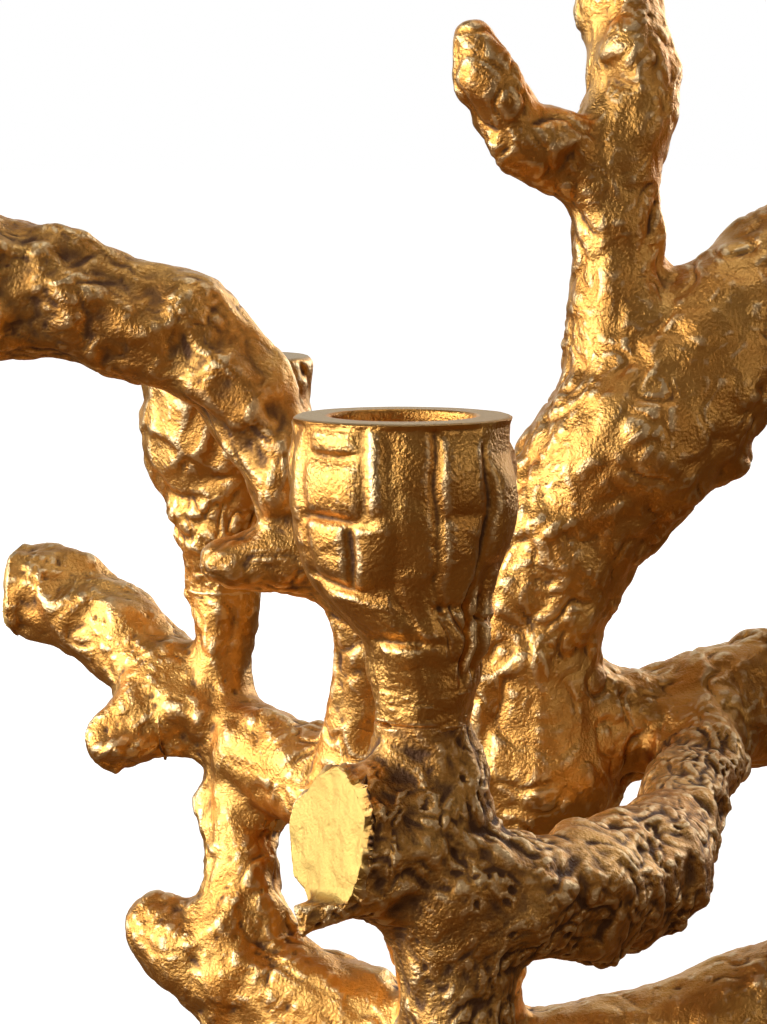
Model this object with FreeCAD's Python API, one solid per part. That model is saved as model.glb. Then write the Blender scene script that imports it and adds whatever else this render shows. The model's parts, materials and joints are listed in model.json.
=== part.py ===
"""Tabletop candelabra in the form of branching coral, cast in sections (mm, +Z up).

Eleven branch castings and six candle cups are drawn together by threaded studs, and the
joints are dressed and gilded over. The whole stands on seven small felt pads.
A node of a branch is (x, y, z, radius); a limb is a row of nodes joined by cones.
"""
import FreeCAD, Part
import os

# Candle cups
BORE_R = 11.5
BORE_DEPTH = 24.0
CUP_HEIGHT = 48.5
NECK_R = 7.6
BOWL_OUTLINE = [(17.4, 0.0), (17.9, -5.0), (17.9, -10.0), (17.3, -16.0), (16.2, -21.0), (14.2, -26.0)]
WAIST_ABOVE_NECK = 12.0
WAIST_R = 10.2

# Studs and felt pads
BRANCH_STUD_R = 3.0
BRANCH_STUD_REACH = 12.0
CUP_STUD_R = 2.5
CUP_STUD_REACH = 9.0
STUD_GAP = 0.05
HOLE_EXTRA_DEPTH = 0.5
PAD_R = 6.0
PAD_THICK = 2.0

# A cone meets its ball a little inside the ball's own radius
CONE_SHARE = 0.97

# Joints between castings: last node of the inner casting, first node of the outer
# casting, share of the way from inner to outer where they meet, radius there
JOINTS = {
    "trunk": ((-9, 24, 31, 14), (-13, 10.5, 81, 18.5), 0.45, 12),
    "top": ((18.5, -0.5, 186, 10.4), (17, 0, 212, 9.4), 0.5, 9.2),
    "right_upper": ((34, 1.5, 176.5, 17.4), (63.5, 14, 201.5, 14.5), 0.53, 15.3),
    "right_back": ((48, 23, 109, 13.5), (69, 47, 109, 14), 0.5, 13),
    "right_low": ((9.5, 23.5, 34, 13.3), (38, 26.5, 40.5, 12.5), 0.52, 12.3),
    "front": ((38, 15, 107.5, 11), (26, -38.5, 94.5, 9.3), 0.42, 8.6),
    "left_upper": ((-31, 28, 92, 11), (-27, 21, 117, 8.3), 0.54, 8.4),
    "left_middle": ((-32, 30, 88, 12.5), (-57, 52.5, 95.5, 10.4), 0.5, 11),
    "left_low": ((-9, 24, 31, 14), (-40, 35, 44, 12), 0.58, 11.8),
    "left_tie": ((-55.5, 50, 90, 9), (-55, 40.5, 62, 9.6), 0.48, 9.3),
    "rear": ((0, 0, 124, 16), (7, 31, 129, 11.3), 0.58, 11.3),
}

# Candle cups: centre of the rim, then x and y of the neck
CUPS = {
    "front": ((-23, -101.5, 175.5), (-19.5, -104)),
    "back_left": ((-58.5, 59, 174.5), (-59, 56)),
    "top": ((18, 10, 304), (18.5, 9)),
    "right_upper": ((101, 29, 270), (99.5, 28)),
    "back_right": ((98, 89, 170), (97, 87.5)),
    "left": ((-148, 25, 255), (-147, 25)),
}

# Ends of the roots, where they stand on the felt pads
ROOT_END_Z = 7.5
ROOT_END_R = 8.5
ROOT_ENDS = {
    "left": (-88, -20),
    "right": (76, -22),
    "back_left": (-62, 100),
    "back_right": (54, 102),
    "front_left": (-43, -118),
    "front_right": (9, -120),
    "front_inner": (-18, -78),
}


def vector(node):
    """Place of a node, without its radius."""
    return FreeCAD.Vector(*node[:3])


def cone_between(start, end, start_r, end_r):
    """Cone, or cylinder where both radii are equal, between two places."""
    axis = end - start
    if abs(start_r - end_r) < 0.01:
        return Part.makeCylinder(start_r, axis.Length, start, axis)
    return Part.makeCone(start_r, end_r, axis.Length, start, axis)


def limb(nodes, cut_start=False, cut_end=False):
    """Solids of one limb: a ball at each node and a cone along each run.

    A cut end has no ball, so it is a flat disc of the node's full radius.
    """
    last = len(nodes) - 1
    solids = []
    for index, node in enumerate(nodes):
        is_cut = (index == 0 and cut_start) or (index == last and cut_end)
        if not is_cut:
            along = vector(nodes[min(index + 1, last)]) - vector(nodes[max(index - 1, 0)])
            solids.append(Part.makeSphere(node[3], vector(node), along))
    for index in range(last):
        start, end = nodes[index], nodes[index + 1]
        start_r = start[3] if index == 0 and cut_start else start[3] * CONE_SHARE
        end_r = end[3] if index + 1 == last and cut_end else end[3] * CONE_SHARE
        solids.append(cone_between(vector(start), vector(end), start_r, end_r))
    return solids


def join(solids):
    """One solid from overlapping ones, taken in one after another."""
    fused = solids[0]
    for solid in solids[1:]:
        fused = fused.fuse(solid)
    return fused.Solids[0]


def seat(name):
    """Node in the plane where two castings meet."""
    inner, outer, share, radius = JOINTS[name]
    place = vector(inner) + (vector(outer) - vector(inner)) * share
    return (place.x, place.y, place.z, radius)


def inner_run(name):
    """Run of the inner casting that ends in a joint's flat face."""
    return limb([JOINTS[name][0], seat(name)], cut_end=True)


def outer_limb(name, nodes):
    """Limb of the outer casting that starts from a joint's flat face."""
    return limb([seat(name), JOINTS[name][1]] + nodes, cut_start=True)


def neck(name):
    """Node in the plane where a cup stands on its branch."""
    rim, (x, y) = CUPS[name]
    return (x, y, rim[2] - CUP_HEIGHT, NECK_R)


def cup_boss(name, nodes):
    """Limb that ends in the flat face under a cup; its last run is upright."""
    return limb(nodes + [neck(name)], cut_end=True)


def stud_solid(centre, direction, radius, reach):
    """Plain rod that reaches the same way to both sides of a joint."""
    return Part.makeCylinder(radius, 2 * reach, centre - direction * reach, direction)


def stud_places():
    """Centre, direction, radius and reach of every stud."""
    places = []
    for name, (inner, outer, _share, _radius) in JOINTS.items():
        direction = (vector(outer) - vector(inner)).normalize()
        places.append((vector(seat(name)), direction, BRANCH_STUD_R, BRANCH_STUD_REACH))
    for name in CUPS:
        places.append((vector(neck(name)), FreeCAD.Vector(0, 0, 1), CUP_STUD_R, CUP_STUD_REACH))
    return places


def drilled(solid):
    """The casting with its stud holes drilled."""
    holes = [stud_solid(centre, direction, radius + STUD_GAP, reach + HOLE_EXTRA_DEPTH)
             for centre, direction, radius, reach in stud_places()]
    near = [hole for hole in holes if solid.BoundBox.intersect(hole.BoundBox)]
    return solid.cut(near) if near else solid


def trimmed_flat(solid):
    """The casting with its root ends ground flat where the pads are glued on."""
    size = 600.0
    ground = Part.makeBox(size, size, size, FreeCAD.Vector(-size / 2, -size / 2, PAD_THICK - size))
    return solid.cut(ground)


def root_end(name):
    """Last node of a root."""
    return ROOT_ENDS[name] + (ROOT_END_Z, ROOT_END_R)


def base_casting():
    """Low hub with four roots, and the bosses of the trunk and both low branches."""
    hub = JOINTS["trunk"][0]
    root_start = (-9, 22, 25, 15)
    solids = limb([root_start, (-34, 7, 19, 11.5), (-63, -8, 12, 10), root_end("left")])
    solids += limb([root_start, (17, 4, 19, 11.5), (47, -11, 12.5, 10), root_end("right")])
    solids += limb([root_start, (-23, 50, 15, 11), (-42, 76, 11, 9.5), root_end("back_left")])
    solids += limb([root_start, (12, 50, 16, 11.5), (33, 78, 12, 10), root_end("back_right")])
    solids += limb([hub, JOINTS["right_low"][0]])
    solids += inner_run("trunk") + inner_run("left_low") + inner_run("right_low")
    return trimmed_flat(join(solids))


def trunk_casting():
    """Leaning trunk with the bosses of seven limbs."""
    solids = outer_limb("trunk", [(2, 2.5, 98.5, 19.2), (-1, -0.5, 124, 16), (7.5, -1.5, 145.5, 16.7),
                                  (20, -2.5, 162.5, 18), JOINTS["right_upper"][0]])
    solids += limb([(20, -2.5, 162.5, 18), (19, -1, 178, 12), JOINTS["top"][0]])
    solids += limb([(2, 3, 103, 17), (13, 5.5, 106, 13.9), (23.5, 7.5, 106.5, 11.2),
                    (36, 14, 107, 12.8), JOINTS["right_back"][0]])
    solids += limb([(-13, 10.5, 81, 18.5), JOINTS["left_middle"][0]])
    solids += limb([(33.5, -2, 164.5, 11.3), (41.5, -2.5, 160.5, 3.5)])
    for name in ("right_upper", "top", "right_back", "front", "left_middle", "left_upper", "rear"):
        solids += inner_run(name)
    return join(solids)


def top_branch():
    """Upright branch that carries the top cup, with a short bare finger to the left."""
    solids = outer_limb("top", [(20.5, 0.5, 224, 9.4), (21, 2, 234.5, 8.5)])
    solids += cup_boss("top", [(21, 2, 234.5, 8.5), (18.5, 9, 243, 9.2)])
    solids += limb([(17, 0.5, 213, 8.2), (7, -4.5, 216, 7.8), (-1, -8, 220.5, 7.8),
                    (-7, -11, 229.5, 6.8), (-10, -11.5, 237.5, 4.2)])
    solids += limb([(24, 1.5, 231, 5.6), (29.5, 1.5, 231, 2.4)])
    return join(solids)


def right_upper_branch():
    """Thick rising branch that carries the upper right cup."""
    solids = outer_limb("right_upper", [(84, 22, 205, 12)])
    solids += cup_boss("right_upper", [(84, 22, 205, 12), (99.5, 28, 209.5, 10)])
    return join(solids)


def right_back_branch():
    """Level branch that runs back to the right and carries the back right cup."""
    solids = outer_limb("right_back", [(82, 61, 107, 12.5), (91.5, 74.5, 107, 11)])
    solids += cup_boss("back_right", [(91.5, 74.5, 107, 11), (97, 87.5, 110, 9.7)])
    return join(solids)


def right_low_branch():
    """Low bare branch to the right."""
    return join(outer_limb("right_low", [(52.5, 30.5, 45, 12.6), (69.5, 37, 49, 12.3), (84, 46, 50, 11),
                                         (97, 55, 54, 9), (105, 60, 60, 6.5)]))


def front_branch():
    """Front column on its own three-toed foot, with a sawn stub, a cup boss and an arm to the trunk."""
    crown = (-15.5, -105, 101, 12.7)
    ankle = (-17, -106, 29, 10.8)
    solids = limb([(-35, -114, 110.5, 12.3), (-22.5, -106, 108, 13.6), crown], cut_start=True)
    solids += cup_boss("front", [(-19.5, -104, 114, 11.2)])
    solids += limb([(-13, -101.5, 121.5, 4.4), (-13, -102.5, 114, 5.1)])
    solids += limb([(-24, -104.5, 118.5, 6.8), (-24, -105.5, 112, 7.5)])
    solids += limb([(-31, -113, 106, 7), (-36, -117.5, 103.5, 5), (-38, -121, 98.5, 2.8)])
    solids += limb([crown, (-14.5, -106, 91, 10.8), (-14.5, -106, 81, 9.8), (-16, -103.5, 69, 10.2),
                    (-15, -104, 49, 10.5), ankle])
    solids += limb([ankle, (-31, -112, 17, 9.5), root_end("front_left")])
    solids += limb([ankle, (-3, -114, 17, 9.5), root_end("front_right")])
    solids += limb([ankle, (-17, -92, 17, 9.5), root_end("front_inner")])
    solids += limb([crown, (-6, -102, 98.5, 11.6), (6, -88.5, 96, 11.4), (18, -65.5, 94, 12.8), JOINTS["front"][1]])
    solids += limb([JOINTS["front"][1], seat("front")], cut_end=True)
    solids += limb([(8, -86.5, 94.5, 8.2), (9.5, -87.5, 86, 5.4)])
    solids += limb([(5.5, -88.5, 94.5, 8.2), (4, -91.5, 87.5, 3)])
    return trimmed_flat(join(solids))


def left_upper_branch():
    """Long arm that climbs to the left and carries the left cup, with a bare twig on its lower run."""
    solids = outer_limb("left_upper", [(-30, 19, 130, 8.2), (-40, 18, 146, 8.4), (-48, 18.5, 160.5, 9),
                                       (-55, 20, 172.5, 10.5), (-64, 22, 181.5, 12.1), (-76.5, 22, 183.5, 11.8),
                                       (-89, 22, 189, 13), (-101, 21, 190.5, 14), (-113, 19.5, 192.5, 14.2),
                                       (-129, 20, 191.5, 12.5)])
    solids += cup_boss("left", [(-129, 20, 191.5, 12.5), (-147, 25, 194, 10)])
    solids += limb([(-36.5, 18, 138, 7.2), (-48.5, 16, 137.5, 6.5), (-56.5, 15, 137, 5.6)])
    solids += limb([(-63.5, 20.5, 187, 6.5), (-59, 19, 190.5, 3.5)])
    solids += limb([(-60, 21, 184, 8), (-56, 20, 180.5, 7)])
    solids += limb([(-89, 21.5, 193.5, 6.5), (-90.5, 20, 198.5, 4)])
    return join(solids)


def left_middle_branch():
    """Branch that runs back to the left to a sawn end, with the back left cup and the tie's boss."""
    solids = outer_limb("left_middle", [(-71.5, 63.5, 105.5, 11), (-84.5, 75, 116, 10.3), (-96, 81.5, 121.5, 10.8)])
    solids += limb([(-96, 81.5, 121.5, 10.8), (-106, 83.5, 122, 10.4)], cut_end=True)
    solids += cup_boss("back_left", [(-61.5, 57, 104, 8.6), (-59, 56, 115, 6.9)])
    solids += limb([(-72, 61.5, 104, 8.4), (-81, 54.5, 94.5, 7.5)])
    solids += inner_run("left_tie")
    return join(solids)


def left_low_branch():
    """Low bare branch to the left, with a tie that rises to the branch above."""
    elbow = (-55.5, 39, 48.5, 12.2)
    solids = outer_limb("left_low", [elbow, (-66, 43.5, 53.5, 10.3), (-72.5, 46, 57, 7.7)])
    solids += outer_limb("left_tie", [elbow])
    return join(solids)


def rear_branch():
    """Bare branch that rises to the rear."""
    return join(outer_limb("rear", [(11, 54, 135, 11), (15, 77, 142, 10), (18, 96, 149, 8.5), (20, 107, 153, 6.5)]))


def candle_cup(name):
    """Cup with an upright bowl and bore, and a waist that may lean to reach its neck."""
    (x, y, top), _neck_place = CUPS[name]
    outline = [FreeCAD.Vector(x, y, top)]
    outline += [FreeCAD.Vector(x + radius, y, top + height) for radius, height in BOWL_OUTLINE]
    outline += [FreeCAD.Vector(x, y, outline[-1].z), FreeCAD.Vector(x, y, top)]
    face = Part.Face(Part.makePolygon(outline))
    bowl = face.revolve(FreeCAD.Vector(x, y, top), FreeCAD.Vector(0, 0, 1), 360)
    bowl_foot_r, bowl_foot_z = BOWL_OUTLINE[-1]
    foot = neck(name)
    waist = foot[:2] + (foot[2] + WAIST_ABOVE_NECK, WAIST_R)
    under_bowl = (x, y, top + bowl_foot_z, bowl_foot_r * CONE_SHARE)
    solid = join([bowl] + limb([under_bowl, waist, foot], cut_end=True))
    return solid.cut(Part.makeCylinder(BORE_R, BORE_DEPTH, FreeCAD.Vector(x, y, top - BORE_DEPTH)))


def stud_group(radius):
    """All studs of one radius, as separate solids."""
    return Part.makeCompound([stud_solid(*place) for place in stud_places() if place[2] == radius])


def foot_pads():
    """A felt disc under each root end."""
    return Part.makeCompound([Part.makeCylinder(PAD_R, PAD_THICK, FreeCAD.Vector(x, y, 0))
                              for x, y in ROOT_ENDS.values()])


def all_nodes():
    """Every piece of the candelabra, by node name."""
    castings = (base_casting, trunk_casting, top_branch, right_upper_branch, right_back_branch,
                right_low_branch, front_branch, left_upper_branch, left_middle_branch,
                left_low_branch, rear_branch)
    nodes = {make.__name__: drilled(make()) for make in castings}
    for name in CUPS:
        nodes["candle_cup_" + name] = drilled(candle_cup(name))
    nodes["branch_studs"] = stud_group(BRANCH_STUD_R)
    nodes["cup_studs"] = stud_group(CUP_STUD_R)
    nodes["foot_pads"] = foot_pads()
    return nodes


def write_nodes(nodes):
    """One STEP file per node, with the origin at the bottom centre of the whole."""
    box = FreeCAD.BoundBox()
    for shape in nodes.values():
        box.add(shape.optimalBoundingBox(False))
    shift = FreeCAD.Vector(-box.Center.x, -box.Center.y, -box.ZMin)
    print("size", box.XLength, box.YLength, box.ZLength, "shift", shift)
    os.makedirs("parts", exist_ok=True)
    for name, shape in nodes.items():
        moved = shape.copy()
        moved.translate(shift)
        moved.exportStep("parts/" + name + ".step")
        print(name, "solids", len(moved.Solids), "valid", moved.isValid(), "cm3", round(moved.Volume / 1000, 1))


write_nodes(all_nodes())
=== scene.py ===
"""Finished surfaces of a tabletop candelabra of cast and gilded coral branches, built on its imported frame.

Shape functions work in millimetres on whole numpy arrays; finished meshes are in metres.
"""

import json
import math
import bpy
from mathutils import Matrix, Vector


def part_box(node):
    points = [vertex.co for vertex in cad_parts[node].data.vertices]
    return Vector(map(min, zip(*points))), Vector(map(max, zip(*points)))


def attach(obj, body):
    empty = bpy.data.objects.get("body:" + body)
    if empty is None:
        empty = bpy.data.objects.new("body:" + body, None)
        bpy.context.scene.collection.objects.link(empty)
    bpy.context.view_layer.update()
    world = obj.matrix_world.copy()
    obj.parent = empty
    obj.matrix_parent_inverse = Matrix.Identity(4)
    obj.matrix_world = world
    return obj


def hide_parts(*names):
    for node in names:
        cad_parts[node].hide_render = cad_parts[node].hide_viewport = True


bl_info = {
    "name": "Gilded Coral Candelabra",
    "version": (1, 0, 0),
    "blender": (4, 5, 0),
    "location": "View3D > Sidebar > Candelabra",
    "description": "Cast coral branches, candle cups, studs, felt pads and a plain studio",
    "category": "Add Mesh",
}

import bmesh
import bpy
import numpy as np

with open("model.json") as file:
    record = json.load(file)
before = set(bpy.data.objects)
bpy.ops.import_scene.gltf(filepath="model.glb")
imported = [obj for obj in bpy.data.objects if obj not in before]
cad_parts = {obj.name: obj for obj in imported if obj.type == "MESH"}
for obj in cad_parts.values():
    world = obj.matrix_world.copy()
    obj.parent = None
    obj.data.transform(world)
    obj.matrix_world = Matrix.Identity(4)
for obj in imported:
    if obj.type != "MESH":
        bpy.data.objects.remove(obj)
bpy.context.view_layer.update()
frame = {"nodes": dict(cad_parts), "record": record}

MM = 0.001
BODY = "root"
SLOT_GILT, SLOT_FELT = "gilt_casting", "felt"
CASTINGS = sorted(n for n in frame["nodes"] if n.endswith(("_casting", "_branch")))
CUPS = sorted(n for n in frame["nodes"] if n.startswith("candle_cup_"))
MOUNTS = {m["name"]: m for m in frame["record"]["mounts"]}


# ---------------------------------------------------------------- noise


LATTICE = 64


def lattice(seed):
    """Random unit gradients on a repeating cube of lattice points, in one long table."""
    gradients = np.random.default_rng(seed).normal(size=(LATTICE ** 3, 3))
    gradients /= np.linalg.norm(gradients, axis=-1, keepdims=True)
    return gradients.astype(np.float32)


def fade(t):
    """Ease from 0 to 1: 6t^5 - 15t^4 + 10t^3."""
    return t * t * t * (t * (6 * t - 15) + 10)


def ramp(value, low, high):
    """0 below low, 1 above high, eased between."""
    return fade(np.clip((value - low) / (high - low), 0, 1))


def noise(points, wavelength, gradients):
    """Gradient noise of one wavelength, about -1 to 1.

    At each corner of a point's lattice cell, the corner's gradient is dotted with the way
    to the point; the eight values are mixed with the eased place in the cell.
    """
    scaled = (points / wavelength).astype(np.float32)
    floor = np.floor(scaled)
    place = scaled - floor
    corner = floor.astype(np.int32)
    low, high = corner % LATTICE, (corner + 1) % LATTICE
    mix = fade(place)
    total = np.zeros(len(points), np.float32)
    for dx in (0, 1):
        for dy in (0, 1):
            for dz in (0, 1):
                x, y, z = (high if step else low for step in (dx, dy, dz))
                gradient = gradients[(x[:, 0] * LATTICE + y[:, 1]) * LATTICE + z[:, 2]]
                weight = ((mix[:, 0] if dx else 1 - mix[:, 0]) * (mix[:, 1] if dy else 1 - mix[:, 1])
                          * (mix[:, 2] if dz else 1 - mix[:, 2]))
                total += weight * (gradient[:, 0] * (place[:, 0] - dx) + gradient[:, 1] * (place[:, 1] - dy)
                                   + gradient[:, 2] * (place[:, 2] - dz))
    return total * 1.6


def smeared_noise(points, wavelength, gradients, along, length, samples=7):
    """Noise averaged over a stretch of each point's own direction, so its marks run that way."""
    shares = np.linspace(-0.5, 0.5, samples)
    total = sum(noise(points + along * (share * length), wavelength, gradients) for share in shares)
    return total / samples * 1.5


def folded(value, width):
    """Smooth ground with thin valleys where the noise passes zero: minus a bell of its size."""
    return -np.exp(-((value / width) ** 2))


def cell_numbers(points, size, seed):
    """Number of the nearest scattered point, and the ways to the nearest and second nearest.

    The scattered points lie one to a cube of the given size, each at a random place in it.
    """
    jitter = np.random.default_rng(seed).uniform(0, 1, (LATTICE ** 3, 3)).astype(np.float32)
    scaled = (points / size).astype(np.float32)
    corner = np.floor(scaled).astype(np.int32)
    nearest = np.full(len(points), 9.0, np.float32)
    second = nearest.copy()
    number = np.zeros(len(points), np.int64)
    for dx in (-1, 0, 1):
        for dy in (-1, 0, 1):
            for dz in (-1, 0, 1):
                cube = corner + np.array((dx, dy, dz), np.int32)
                index = cube % LATTICE
                index = (index[:, 0] * LATTICE + index[:, 1]) * LATTICE + index[:, 2]
                away = cube + jitter[index] - scaled
                way = np.einsum("ij,ij->i", away, away)
                number = np.where(way < nearest, index, number)
                second = np.minimum(second, np.maximum(way, nearest))
                nearest = np.minimum(nearest, way)
    return number, np.sqrt(nearest) * size, np.sqrt(second) * size


# ---------------------------------------------------------------- meshes as arrays


def mesh_arrays(mesh):
    """Corner places in millimetres, and faces as rows of vertex numbers (all of one size)."""
    points = np.empty(len(mesh.vertices) * 3, np.float32)
    mesh.vertices.foreach_get("co", points)
    corners = np.empty(len(mesh.loops), np.int32)
    mesh.loops.foreach_get("vertex_index", corners)
    sides = len(mesh.loops) // len(mesh.polygons)
    return points.reshape(-1, 3) / MM, corners.reshape(-1, sides).astype(np.int64)


def new_mesh(name, points, quads, triangles=()):
    """Mesh in metres from millimetre points and rows of quads and triangles."""
    triangles = np.asarray(triangles, np.int64).reshape(-1, 3)
    quads = np.asarray(quads, np.int64).reshape(-1, 4)
    mesh = bpy.data.meshes.new(name)
    mesh.vertices.add(len(points))
    mesh.vertices.foreach_set("co", (np.asarray(points) * MM).astype(np.float32).ravel())
    mesh.loops.add(quads.size + triangles.size)
    mesh.loops.foreach_set("vertex_index", np.concatenate((quads.ravel(), triangles.ravel())).astype(np.int32))
    starts = np.concatenate((np.arange(len(quads)) * 4, quads.size + np.arange(len(triangles)) * 3))
    mesh.polygons.add(len(quads) + len(triangles))
    mesh.polygons.foreach_set("loop_start", starts.astype(np.int32))
    mesh.update(calc_edges=True)
    mesh.shade_smooth()
    return mesh


def new_object(mesh):
    """Object of a mesh, linked to the scene."""
    piece = bpy.data.objects.new(mesh.name, mesh)
    bpy.context.scene.collection.objects.link(piece)
    return piece


def set_attribute(mesh, name, values):
    """Number on every vertex, for the materials to read."""
    mesh.attributes.new(name, "FLOAT", "POINT").data.foreach_set("value", values.astype(np.float32))


def evaluated_mesh(piece):
    """New mesh of an object with its modifiers applied."""
    depsgraph = bpy.context.evaluated_depsgraph_get()
    return bpy.data.meshes.new_from_object(piece.evaluated_get(depsgraph))


def edges_of(faces):
    """Each edge once, as pairs of vertex numbers."""
    pairs = np.stack((faces, np.roll(faces, -1, axis=1)), axis=-1).reshape(-1, 2)
    return np.unique(np.sort(pairs, axis=1), axis=0)


def neighbour_mean(values, edges, count):
    """Mean of each vertex's neighbours, for one number or several on each vertex."""
    start = np.concatenate((edges[:, 0], edges[:, 1]))
    end = np.concatenate((edges[:, 1], edges[:, 0]))
    number = np.maximum(np.bincount(start, minlength=count), 1)
    if values.ndim == 1:
        return np.bincount(start, weights=values[end], minlength=count) / number
    columns = [np.bincount(start, weights=values[end, i], minlength=count) for i in range(values.shape[1])]
    return np.stack(columns, axis=1) / number[:, None]


def relaxed(values, edges, rounds, share=0.5):
    """Values drawn towards their neighbours' mean, round after round."""
    for _ in range(rounds):
        values = values + share * (neighbour_mean(values, edges, len(values)) - values)
    return values


def vertex_normals(points, faces):
    """Unit normals: the sum of the cross products of each face's diagonals, or sides, at its corners."""
    last = faces[:, -1]
    if faces.shape[1] == 4:
        cross = np.cross(points[faces[:, 2]] - points[faces[:, 0]], points[last] - points[faces[:, 1]])
    else:
        cross = np.cross(points[faces[:, 1]] - points[faces[:, 0]], points[last] - points[faces[:, 0]])
    total = np.zeros((len(points), 3))
    for corner in faces.T:
        for axis in range(3):
            total[:, axis] += np.bincount(corner, weights=cross[:, axis], minlength=len(points))
    return total / np.maximum(np.linalg.norm(total, axis=1, keepdims=True), 1e-9)


def islands(count, edges):
    """Number of the connected island of each vertex: the lowest vertex number in it."""
    label = np.arange(count)
    while True:
        low = np.minimum(label[edges[:, 0]], label[edges[:, 1]])
        new = label.copy()
        np.minimum.at(new, edges[:, 0], low)
        np.minimum.at(new, edges[:, 1], low)
        new = new[new]
        if np.array_equal(new, label):
            return label
        label = new


def merged_node(name):
    """Points and triangles of a CAD node's copy, with its doubled points merged."""
    work = bmesh.new()
    work.from_mesh(frame["nodes"][name].data)
    bmesh.ops.remove_doubles(work, verts=work.verts, dist=1e-6)
    copy = bpy.data.meshes.new("merged")
    work.to_mesh(copy)
    work.free()
    points, triangles = mesh_arrays(copy)
    bpy.data.meshes.remove(copy)
    return points, triangles


def island_parts(name):
    """Points of each separate solid in a CAD node."""
    points, triangles = merged_node(name)
    label = islands(len(points), edges_of(triangles))
    return [points[label == value] for value in np.unique(label)]


def rod_axes(name):
    """Centre and unit direction of each rod in a node of studs."""
    rods = []
    for points in island_parts(name):
        centre = points.mean(axis=0)
        _values, vectors = np.linalg.eigh(np.cov((points - centre).T))
        rods.append((centre, vectors[:, -1]))
    return rods


# ---------------------------------------------------------------- the branching body


FILLET_ROUNDS = 26
RESTORE_ROUNDS = 14
# Reach of a joint from its stud's line, and along it
JOINT_REACH = 16.0
JOINT_HALF = 6.0
# A seam point this near the stud's middle plane moves to it, by no more than the longest step
SEAM_NEAR, SEAM_STEP = 2.5, 1.6
TUCK = 0.4
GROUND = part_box("foot_pads")[1].z / MM


def joined_copies(names):
    """One mesh of several CAD nodes' copies, with each node's number on its points."""
    points, faces, labels, offset = [], [], [], 0
    for number, name in enumerate(names):
        node_points, node_faces = merged_node(name)
        points.append(node_points)
        faces.append(node_faces + offset)
        labels.append(np.full(len(node_points), number))
        offset += len(node_points)
    return np.concatenate(points), np.concatenate(faces), np.concatenate(labels)


def paint_labels(piece, labels):
    """Node numbers as a vertex colour, which Data Transfer can carry."""
    layer = piece.data.color_attributes.new("part", "FLOAT_COLOR", "POINT")
    colours = np.ones((len(labels), 4), np.float32)
    colours[:, 0] = labels / LATTICE
    layer.data.foreach_set("color", colours.ravel())


def skinned_body(names, voxel):
    """One closed skin round all the castings and cups, in quads, with a node number on each point.

    The copies are joined, voxel remeshed into one skin, given the numbers of the nearest
    CAD faces, and relaxed so that the forks get fillets. The relaxing shrinks the limbs,
    so the smoothed loss is added back.
    """
    points, triangles, labels = joined_copies(names)
    source = new_object(new_mesh("label_source", points, (), triangles))
    paint_labels(source, labels)
    lump = new_object(new_mesh("lump", points, (), triangles))
    remesh = lump.modifiers.new("Remesh", "REMESH")
    remesh.mode = "VOXEL"
    remesh.voxel_size = voxel * MM
    skin = new_object(evaluated_mesh(lump))
    paint_labels(skin, np.zeros(len(skin.data.vertices)))
    transfer = skin.modifiers.new("Labels", "DATA_TRANSFER")
    transfer.object = source
    transfer.use_vert_data = True
    transfer.data_types_verts = {"COLOR_VERTEX"}
    transfer.vert_mapping = "POLYINTERP_NEAREST"
    mesh = evaluated_mesh(skin)
    colours = np.empty(len(mesh.vertices) * 4, np.float32)
    mesh.color_attributes["part"].data.foreach_get("color", colours)
    points, quads = mesh_arrays(mesh)
    part = np.rint(colours.reshape(-1, 4)[:, 0] * LATTICE).astype(int)
    for piece in (source, lump, skin):
        old = piece.data
        bpy.data.objects.remove(piece)
        bpy.data.meshes.remove(old)
    bpy.data.meshes.remove(mesh)
    edges = edges_of(quads)
    smooth = relaxed(points.astype(float), edges, FILLET_ROUNDS)
    smooth += relaxed(points - smooth, edges, RESTORE_ROUNDS)
    return smooth, quads, part


def subdivided(points, quads, values):
    """Catmull-Clark subdivision, once, of quads that carry some numbers on their points."""
    mesh = new_mesh("coarse", points, quads)
    for name, array in values.items():
        set_attribute(mesh, name, array)
    piece = new_object(mesh)
    modifier = piece.modifiers.new("Subdivision", "SUBSURF")
    modifier.levels = modifier.render_levels = 1
    fine = evaluated_mesh(piece)
    fine_points, fine_quads = mesh_arrays(fine)
    fine_values = {}
    for name in values:
        array = np.empty(len(fine.vertices), np.float32)
        fine.attributes[name].data.foreach_get("value", array)
        fine_values[name] = array
    bpy.data.objects.remove(piece)
    bpy.data.meshes.remove(mesh)
    bpy.data.meshes.remove(fine)
    return fine_points.astype(float), fine_quads, fine_values


def direction_moments(normals, edges):
    """Six products of the normals' components, averaged over the surface some way round each point."""
    products = [normals[:, i] * normals[:, j] for i, j in MOMENTS]
    return relaxed(np.stack(products, axis=1), edges, 40, 0.9)


def limb_direction(moments):
    """Direction of the limb at each point, the one that the normals around it avoid.

    It is the eigenvector with the least eigenvalue of the normals' averaged products.
    """
    matrix = np.empty((len(moments), 3, 3))
    for column, (i, j) in enumerate(MOMENTS):
        matrix[:, i, j] = matrix[:, j, i] = moments[:, column]
    _values, vectors = np.linalg.eigh(matrix)
    return vectors[:, :, 0]


def facets(points, normals, size, seed, tilt):
    """Chipped facets: the way each point has to move to lie in its cell's own tilted plane."""
    number, _nearest, _second = cell_numbers(points, size, seed)
    _values, cell = np.unique(number, return_inverse=True)
    count = np.bincount(cell)
    centre = np.stack([np.bincount(cell, weights=points[:, i]) for i in range(3)], axis=1) / count[:, None]
    facing = np.stack([np.bincount(cell, weights=normals[:, i]) for i in range(3)], axis=1) / count[:, None]
    facing += np.random.default_rng(seed + 1).normal(0, tilt, facing.shape)
    facing /= np.maximum(np.linalg.norm(facing, axis=1, keepdims=True), 1e-6)
    height = np.einsum("ij,ij->i", points - centre[cell], facing[cell])
    return np.clip(-height, -0.1 * size, 0.12 * size)


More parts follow.
